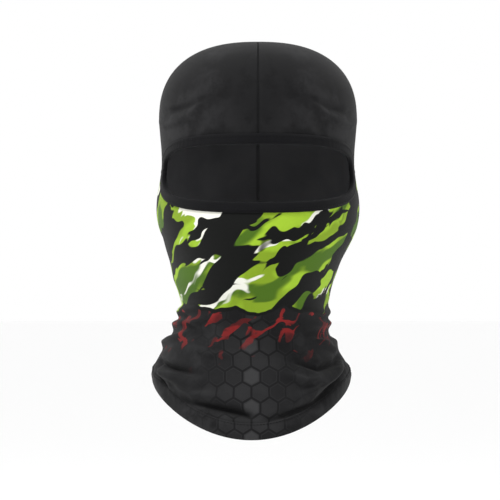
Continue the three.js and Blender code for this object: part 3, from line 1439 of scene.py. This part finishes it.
@dataclass
class HoodHalf:
    """One half of the hood, from the centre seam round to the side seam and down to the hem at the back.

    Attributes:
        shop: What it is made from.
        side: Which half.
        columns_front: About how many columns lie between the crown seam and the side seam.
        columns_back: How many even columns lie between the side seam and the seam at the back.
        rows_up: Rows from the lower edge to the top.
        rows_down: Rows from the hem up to the level of the ear.
        brow_clear: How many times the crown seam's last column the brow's columns begin at.
        flat: Bounding rectangle of the flat cut, in metres.
        flat_area: Its area, in square metres.
    """

    shop: Workshop
    side: Side
    columns_front: int = 104
    columns_back: int = 52
    rows_up: int = 150
    rows_down: int = 80
    brow_clear: float = 1.3
    flat: tuple[float, float] = (0.255, 0.315)
    flat_area: float = 0.040

    def _columns(self) -> np.ndarray:
        """Angles of the front block's columns, close together round the opening's corner.

        Returns:
            The angles, from the middle of the brow to the side seam.
        """
        pattern, lap = self.shop.pattern, self.shop.seam_lap / MEAN_RADIUS
        reach = pattern.corner_angle - self.shop.hidden_edge / MEAN_RADIUS
        brow = reach * np.sin(np.linspace(0, np.pi / 2, self.columns_front * 3 // 4))
        side = close_at_ends(reach, pattern.seam_angle - lap, self.columns_front // 4)
        seam = SEAM_COLUMNS / MEAN_RADIUS - lap
        return np.concatenate([seam, brow[brow > seam[-1] * self.brow_clear], side[1:]])

    def _low(self, angle: np.ndarray) -> np.ndarray:
        """Heights of the piece's lower edge, along the brow and the top of the side seam.

        Args:
            angle: The front block's columns.

        Returns:
            The height at each column.
        """
        pattern, shop = self.shop.pattern, self.shop
        brow = pattern.edge_height(Edge.BROW, shop.hidden_edge, angle)
        return np.where(angle < pattern.corner_angle, brow, pattern.seam_height(angle)) - shop.seam_lap

    def build(self) -> bpy.types.Object:
        """Models, dresses and hangs the piece.

        Returns:
            The object.
        """
        shop, sign = self.shop, self.side.value
        angle = self._columns()
        low = self._low(angle)
        back = close_at_ends(angle[-1], np.pi + shop.seam_lap / MEAN_RADIUS, self.columns_back)
        behind_ear = np.full(back.shape, low[-1])
        hem = shop.pattern.hem_height(back) + shop.hem_tuck
        blocks = (
            (angle, rows_between(low, shop.form.top, self.rows_up)),
            (back, rows_between(behind_ear, shop.form.top, self.rows_up)),
            (back, rows_between(hem, behind_ear, self.rows_down)),
        )
        points, coords, hollows, faces, count = [], [], [], [], 0
        for columns, rises in blocks:
            angles = sign * np.broadcast_to(columns, rises.shape)
            grid = shop.form.point(angles, rises)
            round_from = lengths_round(grid)
            if columns is back:
                to_seam = lengths_round(shop.form.point(sign * angle, rises[:, :1]))
                round_from = round_from + to_seam[:, -1:]
            points.append(grid.reshape(-1, 3))
            hollows.append(shop.form.hollow(angles, rises).ravel())
            coords.append(np.stack([sign * round_from, rises], axis=-1).reshape(-1, 2))
            faces += grid_faces(*rises.shape, count)
            count += rises.size
        if self.side is Side.LEFT:
            faces = [face[::-1] for face in faces]
        name = f"hood_{self.side.name.lower()}_cloth"
        piece = new_piece(name, np.concatenate(points), faces)
        write_cloth_coords(piece, np.concatenate(coords))
        write_hollows(piece, np.concatenate(hollows))
        piece.data.materials.append(shop.smoky)
        piece.data.materials.append(shop.lining)
        merge_close(piece)
        thicken(piece, shop.cloth, lining=1)
        shop.ride(piece, "hood_jersey", False, f"hood_{self.side.name.lower()}_panel")
        return piece


@dataclass
class FrontPanel:
    """The printed front panel, from the opening's lower edge to the hem, one cut of cloth.

    Attributes:
        shop: What it is made from.
        columns_face: How many columns lie below the eye opening.
        columns_side: How many even columns lie on each side of them.
        rows: Rows from the hem to the upper edge.
        flat: Bounding rectangle of the flat cut, in metres.
        flat_area: Its area, in square metres.
    """

    shop: Workshop
    columns_face: int = 161
    columns_side: int = 28
    rows: int = 180
    flat: tuple[float, float] = (0.32, 0.20)
    flat_area: float = 0.0525

    def build(self) -> bpy.types.Object:
        """Models, dresses and hangs the piece.

        Returns:
            The object.
        """
        shop, pattern = self.shop, self.shop.pattern
        reach = pattern.corner_angle - shop.hidden_edge / MEAN_RADIUS
        middle = reach * np.sin(np.linspace(-np.pi / 2, np.pi / 2, self.columns_face))
        right = close_at_ends(reach, pattern.seam_angle + shop.seam_lap / MEAN_RADIUS, self.columns_side)[1:]
        angle = np.concatenate([-right[::-1], middle, right])
        cheek = pattern.edge_height(Edge.CHEEK, shop.hidden_edge, angle)
        top = np.where(np.abs(angle) < pattern.corner_angle, cheek, pattern.seam_height(angle))
        rises = rows_between(pattern.hem_height(angle) + shop.hem_tuck, top + shop.seam_lap, self.rows)
        angles = np.broadcast_to(angle, rises.shape)
        grid = shop.form.point(angles, rises)
        piece = new_piece("front_cloth", grid.reshape(-1, 3), grid_faces(*rises.shape))
        round_from = lengths_round(grid, first=len(angle) // 2)
        write_cloth_coords(piece, np.stack([round_from, rises], axis=-1).reshape(-1, 2))
        write_hollows(piece, shop.form.hollow(angles, rises))
        piece.data.materials.append(shop.printed)
        piece.data.materials.append(shop.lining)
        thicken(piece, shop.cloth, lining=1)
        shop.ride(piece, "printed_jersey", True, "face_panel", "neck_front_panel")
        return piece


@dataclass
class Binding:
    """Half of the binding: a strip folded over the opening's edge, round outside and open towards the panel.

    Attributes:
        shop: What it is made from.
        edge: Which half.
        width: From the outer edge to the fold.
        leaf: Thickness of one leaf of the strip.
        room: From the panel to the leaf.
        puff: How far the fold stands proud of the edges.
        corner_gap: Turn left free at each of the opening's corners, in radians.
        steps: Steps along its length.
        flat: Length and width of the strip before it is folded, in metres.
    """

    shop: Workshop
    edge: Edge
    width: float = 9 * MM
    leaf: float = 0.8 * MM
    room: float = 0.3 * MM
    puff: float = 0.25 * MM
    steps: int = 180
    corner_gap: float = 0.0002
    flat: tuple[float, float] = (0.24, 0.019)

    def _profile(self) -> np.ndarray:
        """The fold's cross-section, round its closed outline.

        Returns:
            Insets from the outer edge and distances out.
        """
        half = self.shop.cloth / 2 + self.room
        bend = np.linspace(np.pi / 2, -np.pi / 2, BEND_STEPS)
        puff = half + self.leaf + self.puff
        centre = self.width - puff
        outer = [(0.0, half + self.leaf), (centre * 0.35, puff), (centre * 0.7, puff)]
        outer += [(centre + puff * math.cos(b), puff * math.sin(b)) for b in bend]
        outer += [(centre * 0.7, -puff), (0.0, -half - self.leaf)]
        inner = [(0.0, -half), (centre * 0.7, -half)]
        inner += [(centre + half * math.cos(b), half * math.sin(b)) for b in bend[::-1]]
        inner += [(centre * 0.7, half), (0.0, half)]
        return np.array(outer + inner) - np.array([0.0, self.shop.cloth / 2])

    def build(self) -> bpy.types.Object:
        """Models, dresses and hangs the piece.

        Returns:
            The object.
        """
        shop = self.shop
        name = self.edge.name.lower()
        turn = self.edge.value * np.linspace(self.corner_gap, np.pi - self.corner_gap, self.steps)
        rings, coords = [], []
        for inset, out in self._profile():
            angle, height = shop.pattern.opening(inset, turn)
            rings.append(shop.form.point(angle, height, out))
            coords.append(np.stack([angle * MEAN_RADIUS, height + inset], axis=-1))
        piece = swept_piece(f"{name}_binding_cloth", rings, coords, closed=False)
        piece.data.materials.append(shop.plain)
        shop.ride(piece, "binding", self.edge is Edge.CHEEK, f"{name}_binding")
        return piece


@dataclass
class Elastic:
    """The elastic in one half of the binding: a flat woven tape in the fold, clear of the panel's edge.

    Attributes:
        shop: What it is made from.
        edge: Which half.
        near: From the binding's outer edge to the tape's.
        far: From there to its other edge.
        chamfer: Share of half its thickness that its corners lose.
        end_gap: Turn left free at each of the opening's corners, in radians.
        thickness: Of the tape.
        steps: Steps along its length.
    """

    shop: Workshop
    edge: Edge
    near: float = 4.4 * MM
    far: float = 7.3 * MM
    thickness: float = 1.0 * MM
    chamfer: float = 0.5
    end_gap: float = 0.03
    steps: int = 120

    def build(self) -> bpy.types.Object:
        """Models, dresses and hangs the piece.

        Returns:
            The object.
        """
        shop, half = self.shop, self.thickness / 2
        name, corner = self.edge.name.lower(), half * self.chamfer
        outline = (
            (self.near + corner, half),
            (self.far - corner, half),
            (self.far, half - corner),
            (self.far, corner - half),
            (self.far - corner, -half),
            (self.near + corner, -half),
            (self.near, corner - half),
            (self.near, half - corner),
        )
        turn = self.edge.value * np.linspace(self.end_gap, np.pi - self.end_gap, self.steps)
        rings, coords = [], []
        for inset, out in outline:
            angle, height = shop.pattern.opening(inset, turn)
            rings.append(shop.form.point(angle, height, out - shop.cloth / 2))
            coords.append(np.stack([angle * MEAN_RADIUS, height + out], axis=-1))
        piece = swept_piece(f"{name}_elastic_tape", rings, coords, closed=False)
        piece.data.materials.append(shop.elastic)
        shop.ride(piece, "elastic", self.edge is Edge.CHEEK, f"{name}_elastic")
        return piece


@dataclass
class Hem:
    """The turned bottom hem: the cloth folded up inside, as a smooth band all the way round.

    Attributes:
        shop: What it is made from.
        width: From the hem line to the upper edge.
        fold_gap: From the panel to the leaf.
        leaf: Thickness of one leaf.
        bulge: How far the band's middle stands proud.
        thin_edge: Share of the leaf's thickness at the outer upper edge.
        outer_slope: Length over which it thins there.
        inner_drop: How much lower the leaf ends inside.
        steps: Steps along its length.
        flat: Length and width of the strip before it is folded, in metres.
    """

    shop: Workshop
    width: float = 14 * MM
    fold_gap: float = 0.2 * MM
    leaf: float = 0.7 * MM
    bulge: float = 0.2 * MM
    thin_edge: float = 0.55
    outer_slope: float = 0.9 * MM
    inner_drop: float = 1.2 * MM
    steps: int = 420
    flat: tuple[float, float] = (0.475, 0.029)

    def _profile(self) -> np.ndarray:
        """The fold's cross-section, round its closed outline.

        Returns:
            Heights above the hem line and distances out.
        """
        half = self.shop.cloth / 2 + self.fold_gap
        puff, middle, inner_top = half + self.leaf, self.width * 0.5, self.width - self.inner_drop
        bend = np.linspace(np.pi / 2, -np.pi / 2, BEND_STEPS)
        outer = [(self.width, half + self.leaf * self.thin_edge), (self.width - self.outer_slope, puff)]
        outer += [(middle, puff + self.bulge)]
        outer += [(puff - puff * math.cos(b), puff * math.sin(b)) for b in bend]
        outer += [(middle, -puff), (inner_top, -puff), (inner_top, -half)]
        inner = [(middle, -half)]
        inner += [(puff - half * math.cos(b), half * math.sin(b)) for b in bend[::-1]]
        inner += [(middle, half), (self.width, half)]
        return np.array(outer + inner) - np.array([0.0, self.shop.cloth / 2])

    def build(self) -> bpy.types.Object:
        """Models, dresses and hangs the piece.

        Returns:
            The object.
        """
        shop = self.shop
        angle = np.linspace(-np.pi, np.pi, self.steps, endpoint=False)
        line = shop.pattern.hem_height(angle)
        profile = self._profile()
        rings = [shop.form.point(angle, line + up, out) for up, out in profile]
        coords = [np.stack([angle * MEAN_RADIUS, line + up], axis=-1) for up, _ in profile]
        piece = swept_piece("hem_band", rings, coords, closed=True)
        piece.data.materials.append(shop.smoky)
        shop.ride(piece, "hood_jersey", False, "bottom_hem")
        return piece


# Threads ---------------------------------------------------------------------------------------------


@dataclass
class StitchRun:
    """A run of stitches along a path on the cloth, all copies of one modelled stitch.

    Attributes:
        shop: What it is made from.
        radius: Of the thread.
        length: Of one stitch, end to end.
        pitch: From one stitch to the next.
        straight: Share of its length that lies flat.
        dip: How far its ends dip, in thread radii.
        taper: How thick its ends are, as a share of the thread.
        points: The points of each stitch laid so far.
        faces: Their faces.
        slots: The material slot of each face: 0 outside, 1 inside.
    """

    shop: Workshop
    radius: float = 0.2 * MM
    length: float = 2.2 * MM
    pitch: float = 2.8 * MM
    straight: float = 0.6
    dip: float = 1.6
    taper: float = 0.7
    points: list[np.ndarray] = field(default_factory=list)
    faces: list[tuple[int, ...]] = field(default_factory=list)
    slots: list[int] = field(default_factory=list)

    def __post_init__(self) -> None:
        """Models the one stitch that all the others copy."""
        self.stitch_points, self.stitch_faces = self._model()

    def _model(self) -> tuple[np.ndarray, list[tuple[int, ...]]]:
        """Models one stitch lying along X, with both ends dipping into the cloth.

        Returns:
            Its points and its faces.
        """
        bpy.ops.object.select_all(action="DESELECT")
        middle = self.length * self.straight
        bpy.ops.mesh.primitive_cylinder_add(vertices=6, radius=self.radius, depth=middle)
        stitch = bpy.context.active_object
        bpy.ops.object.mode_set(mode="EDIT")
        bpy.ops.mesh.select_all(action="DESELECT")
        bpy.ops.object.mode_set(mode="OBJECT")
        for end in (1, -1):
            cap = next(polygon for polygon in stitch.data.polygons if polygon.normal.z * end > 0.9)
            cap.select = True
            for number in cap.vertices:
                stitch.data.vertices[number].select = True
            bpy.ops.object.mode_set(mode="EDIT")
            bpy.ops.mesh.select_mode(type="FACE")
            down = -self.radius * self.dip
            reach = (down, 0, end * (self.length - middle) / 2)
            bpy.ops.mesh.extrude_region_move(TRANSFORM_OT_translate={"value": reach})
            tip = (down, 0, end * self.length / 2)
            bpy.ops.transform.resize(value=(self.taper, self.taper, 1.0), center_override=tip)
            bpy.ops.mesh.select_all(action="DESELECT")
            bpy.ops.object.mode_set(mode="OBJECT")
        upright = np.array([v.co for v in stitch.data.vertices])
        faces = [tuple(p.vertices)[::-1] for p in stitch.data.polygons]
        bpy.data.objects.remove(stitch, do_unlink=True)
        return upright[:, ::-1], faces

    def _place(self, middle: np.ndarray, along: np.ndarray, out: np.ndarray) -> None:
        """Adds one stitch.

        Args:
            middle: Where its middle lies.
            along: The direction that it lies in.
            out: The outward direction there.
        """
        along = along / np.linalg.norm(along)
        beside = np.cross(out, along)
        beside = beside / np.linalg.norm(beside)
        up = np.cross(along, beside)
        start = sum(len(p) for p in self.points)
        turned = self.stitch_points @ np.stack([along, beside, up])
        self.points.append(turned + middle)
        self.faces += [tuple(start + number for number in face) for face in self.stitch_faces]

    def row(
        self, angle: np.ndarray, rise: np.ndarray, out: float, across: float = 0.0, lean: float = 0.0
    ) -> None:
        """Lays a row of stitches along a path.

        Args:
            angle: The path's angles round from the face.
            rise: Its rises.
            out: How far out from the cloth's outer face the threads lie; below 0 for the inside.
            across: How far to one side of the path they lie.
            lean: The angle in radians by which every other stitch turns left, and the rest right.
        """
        line = self.shop.form.point(angle, rise, out)
        facing = self.shop.form.point(angle, rise, out + 1 * MM) - line
        gone = np.concatenate([[0], np.cumsum(np.linalg.norm(np.diff(line, axis=0), axis=-1))])
        count = max(2, int(gone[-1] / self.pitch))
        stops = (np.arange(count) + 0.5) * gone[-1] / count
        middles = np.stack([np.interp(stops, gone, line[:, k]) for k in range(3)], axis=-1)
        facings = np.stack([np.interp(stops, gone, facing[:, k]) for k in range(3)], axis=-1)
        slopes = np.gradient(middles, axis=0)
        for i in range(count):
            outward = facings[i] / np.linalg.norm(facings[i])
            along = slopes[i] / np.linalg.norm(slopes[i])
            beside = np.cross(outward, along)
            turn = lean if i % 2 else -lean
            direction = along * math.cos(turn) + beside * math.sin(turn)
            self._place(middles[i] + beside * across, direction, outward if out >= 0 else -outward)
        self.slots += [int(out < 0)] * (count * len(self.stitch_faces))

    def piece(self, name: str, bends: bool, replaced: str) -> bpy.types.Object:
        """Makes the run one piece, dresses it and hangs it.

        Args:
            name: The piece's name.
            bends: Whether it crosses the joint.
            replaced: The CAD node that it stands for.

        Returns:
            The object.
        """
        piece = new_piece(name, np.concatenate(self.points), self.faces)
        piece.data.materials.append(self.shop.thread)
        piece.data.materials.append(self.shop.inner_thread)
        piece.data.polygons.foreach_set("material_index", self.slots)
        self.shop.ride(piece, "thread", bends, replaced)
        return piece


@dataclass
class BindingStitches:
    """The row of stitching that holds one half of the binding, seen outside and inside.

    Attributes:
        shop: What it is made from.
        edge: Which half.
        inset: From the binding's outer edge to the row.
        outside: How far out from the cloth's face the outer threads lie.
        inside: The same for the inner threads.
        end_gap: Turn left free at each of the opening's corners, in radians.
        steps: Path steps along it.
    """

    shop: Workshop
    edge: Edge
    inset: float = 2.5 * MM
    outside: float = 1.38 * MM
    inside: float = -2.45 * MM
    end_gap: float = 0.05
    steps: int = 300

    def build(self) -> bpy.types.Object:
        """Models, dresses and hangs the piece.

        Returns:
            The object.
        """
        run = StitchRun(self.shop)
        name = self.edge.name.lower()
        turn = self.edge.value * np.linspace(self.end_gap, np.pi - self.end_gap, self.steps)
        angle, height = self.shop.pattern.opening(self.inset, turn)
        for out in (self.outside, self.inside):
            run.row(angle, height, out)
        return run.piece(f"{name}_binding_stitches", self.edge is Edge.CHEEK, f"{name}_stitch")


@dataclass
class HemStitches:
    """The row of stitching that holds the hem, close below its upper edge.

    Attributes:
        shop: What it is made from.
        height: Above the hem line.
        outside: How far out from the cloth's face the outer threads lie.
        inside: The same for the inner threads.
        steps: Path steps along it.
    """

    shop: Workshop
    height: float = 12.6 * MM
    outside: float = 1.0 * MM
    inside: float = -2.1 * MM
    steps: int = 600

    def build(self) -> bpy.types.Object:
        """Models, dresses and hangs the piece.

        Returns:
            The object.
        """
        run = StitchRun(self.shop)
        angle = np.linspace(-np.pi, np.pi, self.steps)
        for out in (self.outside, self.inside):
            run.row(angle, self.shop.pattern.hem_height(angle) + self.height, out)
        return run.piece("hem_stitches", False, "hem_stitch")


@dataclass
class FlatSeam:
    """A flat seam between two panels: a ladder of crossing threads between two edge rows.

    Attributes:
        shop: What it is made from.
        half_width: From the seam line to an edge row.
        lean: How far the ladder's threads turn, in radians.
        lift: How far the threads stand off the cloth.
        ladder_pitch: From one ladder thread to the next.
        edge_pitch: From one edge stitch to the next.
        above_hem: How far above the hem line the seam ends.
        beyond_brow: How far above the binding the crown seam starts.
        corner_skip: Path steps that a side seam leaves out beside the opening's corner.
        brow_steps: Path steps from the brow to the top.
        back_steps: Path steps from the top to the hem.
    """

    shop: Workshop
    half_width: float = 1.1 * MM
    lean: float = math.radians(62)
    lift: float = 0.16 * MM
    ladder_pitch: float = 1.27 * MM
    edge_pitch: float = 2.53 * MM
    above_hem: float = 14.5 * MM
    beyond_brow: float = 0.6 * MM
    corner_skip: int = 8
    brow_steps: int = 300
    back_steps: int = 500

    def _sew(self, angle: np.ndarray, rise: np.ndarray) -> StitchRun:
        """Sews both faces of the seam along a path.

        Args:
            angle: The path's angles round from the face.
            rise: Its rises.

        Returns:
            The run of stitches.
        """
        run = StitchRun(self.shop, radius=0.17 * MM, length=2.3 * MM)
        for out in (self.lift, -self.shop.cloth - self.lift):
            run.pitch = self.ladder_pitch
            run.row(angle, rise, out, lean=self.lean)
            run.pitch = self.edge_pitch
            for across in (-self.half_width, self.half_width):
                run.row(angle, rise, out, across=across)
        return run

    def build_side(self, side: Side) -> bpy.types.Object:
        """Models, dresses and hangs the seam between the front panel and one half of the hood.

        Args:
            side: Which seam.

        Returns:
            The object.
        """
        angle, rise = self.shop.pattern.side_seam(side)
        name = side.name.lower()
        keep = rise > float(rise[-1]) + self.above_hem
        run = self._sew(angle[keep][self.corner_skip :], rise[keep][self.corner_skip :])
        return run.piece(f"side_seam_{name}_threads", False, f"side_seam_{name}")

    def build_crown(self) -> bpy.types.Object:
        """Models, dresses and hangs the seam from the brow over the crown to the hem at the back.

        Returns:
            The object.
        """
        pattern, top = self.shop.pattern, self.shop.form.top
        low = float(pattern.hem_height(np.array(np.pi))) + self.above_hem
        front = np.linspace(pattern.brow_height + self.beyond_brow, top, self.brow_steps)
        back = np.linspace(top, low, self.back_steps)[1:]
        angle = np.concatenate([np.zeros(front.shape), np.full(back.shape, np.pi)])
        run = self._sew(angle, np.concatenate([front, back]))
        return run.piece("crown_seam_threads", False, "crown_seam")


# Camera, light and floor -----------------------------------------------------------------------------


@dataclass(frozen=True)
class Lamp:
    """A soft square light aimed at the mask.

    Attributes:
        name: The light's name.
        place: Where it stands, in metres.
        size: The length of its side, in metres.
        power: In watts.
    """

    name: str
    place: tuple[float, float, float]
    size: float
    power: float


@dataclass
class Studio:
    """A pale floor, soft light, and a long lens level with the mask.

    Attributes:
        aim: The middle of the view.
        field: How wide the view is at the mask, in metres.
        lens: The lens, in millimetres.
        sensor: The sensor's width, in millimetres.
        lamps: The lights.
        sky: How bright the white world is.
        floor_gap: How far below the mask the floor lies.
        floor_size: The length of its side, in metres.
        floor_grey: How pale it is.
    """

    aim: tuple[float, float, float] = (-6.7 * MM, 0.0, -37.8 * MM)
    field: float = 0.420
    lens: float = 600.0
    sensor: float = 36.0
    lamps: tuple[Lamp, ...] = (
        Lamp("key", (-0.9, -0.9, 2.1), 0.5, 54),
        Lamp("fill", (1.5, -1.6, 0.4), 1.2, 8),
        Lamp("back_left", (-1.2, 1.4, 1.0), 1.2, 7),
        Lamp("back_right", (1.2, 1.4, 1.0), 1.2, 7),
    )
    sky: float = 1.0
    floor_gap: float = 160 * MM
    floor_size: float = 60.0
    floor_grey: float = 0.97

    def build(self) -> None:
        """Makes the camera, the lights, the world and the floor."""
        distance = self.field * self.lens / self.sensor
        data = bpy.data.cameras.new("camera")
        data.lens = self.lens
        data.sensor_width = self.sensor
        camera = bpy.data.objects.new("camera", data)
        camera.location = (self.aim[0], -distance, self.aim[2])
        camera.rotation_euler = (math.radians(90), 0, 0)
        bpy.context.scene.collection.objects.link(camera)
        bpy.context.scene.camera = camera
        for lamp in self.lamps:
            self._light(lamp)
        world = bpy.data.worlds.new("world")
        world.use_nodes = True
        background = world.node_tree.nodes["Background"]
        background.inputs["Color"].default_value = (1, 1, 1, 1)
        background.inputs["Strength"].default_value = self.sky
        bpy.context.scene.world = world
        bpy.context.scene.view_settings.view_transform = "Standard"
        self._floor()

    def _light(self, lamp: Lamp) -> None:
        """Makes one light.

        Args:
            lamp: What it is like.
        """
        data = bpy.data.lights.new(lamp.name, "AREA")
        data.size = lamp.size
        data.energy = lamp.power
        light = bpy.data.objects.new(lamp.name, data)
        light.location = lamp.place
        aim = np.array(self.aim) - np.array(lamp.place)
        flat = math.hypot(aim[0], aim[1])
        light.rotation_euler = (math.atan2(flat, -aim[2]), 0, math.atan2(aim[1], aim[0]) - math.pi / 2)
        bpy.context.scene.collection.objects.link(light)

    def _floor(self) -> None:
        """The pale floor, far enough below the mask to throw little light up at it."""
        bpy.ops.object.select_all(action="DESELECT")
        low = CAD_BOX[0][2] - self.floor_gap
        bpy.ops.mesh.primitive_plane_add(size=self.floor_size, location=(0, 0, low))
        floor = bpy.context.active_object
        floor.name = "floor"
        material, _, shader = new_material("pale_floor")
        shader.inputs["Base Color"].default_value = (self.floor_grey,) * 3 + (1,)
        shader.inputs["Roughness"].default_value = 0.9
        floor.data.materials.append(material)


def main() -> None:
    """Builds the studio and every piece of the mask, in the order in which it is sewn."""
    logging.basicConfig(level=logging.INFO)
    Studio().build()
    pattern = Pattern()
    shop = Workshop(
        form=HeadForm(pattern),
        pattern=pattern,
        smoky=SmokyKnit("smoky_jersey").make(),
        printed=PrintedKnit("printed_jersey").make(),
        plain=Knit("binding_jersey", wale=0.7).make(),
        # The lining's pale grey is painted light: far paler than the charcoal cloth, it stands in for light
        # inside.
        lining=Knit("jersey_inside_painted_light", depth=0.2, light=srgb(92, 92, 94), dark=srgb(84, 84, 86)).make(),
        thread=ThreadFinish("seam_thread").make(),
        # The inner thread's pale grey is painted light, like the lining's.
        inner_thread=ThreadFinish("seam_thread_inside_painted_light", colour=srgb(66, 66, 68)).make(),
        elastic=Knit("elastic_tape", wale=1.0, course=1.6, depth=0.5).make(),
    )
    for side in Side:
        HoodHalf(shop, side).build()
    FrontPanel(shop).build()
    for edge in Edge:
        Binding(shop, edge).build()
        Elastic(shop, edge).build()
        BindingStitches(shop, edge).build()
    Hem(shop).build()
    HemStitches(shop).build()
    seam = FlatSeam(shop)
    seam.build_crown()
    for side in Side:
        seam.build_side(side)


if __name__ == "__main__":
    main()
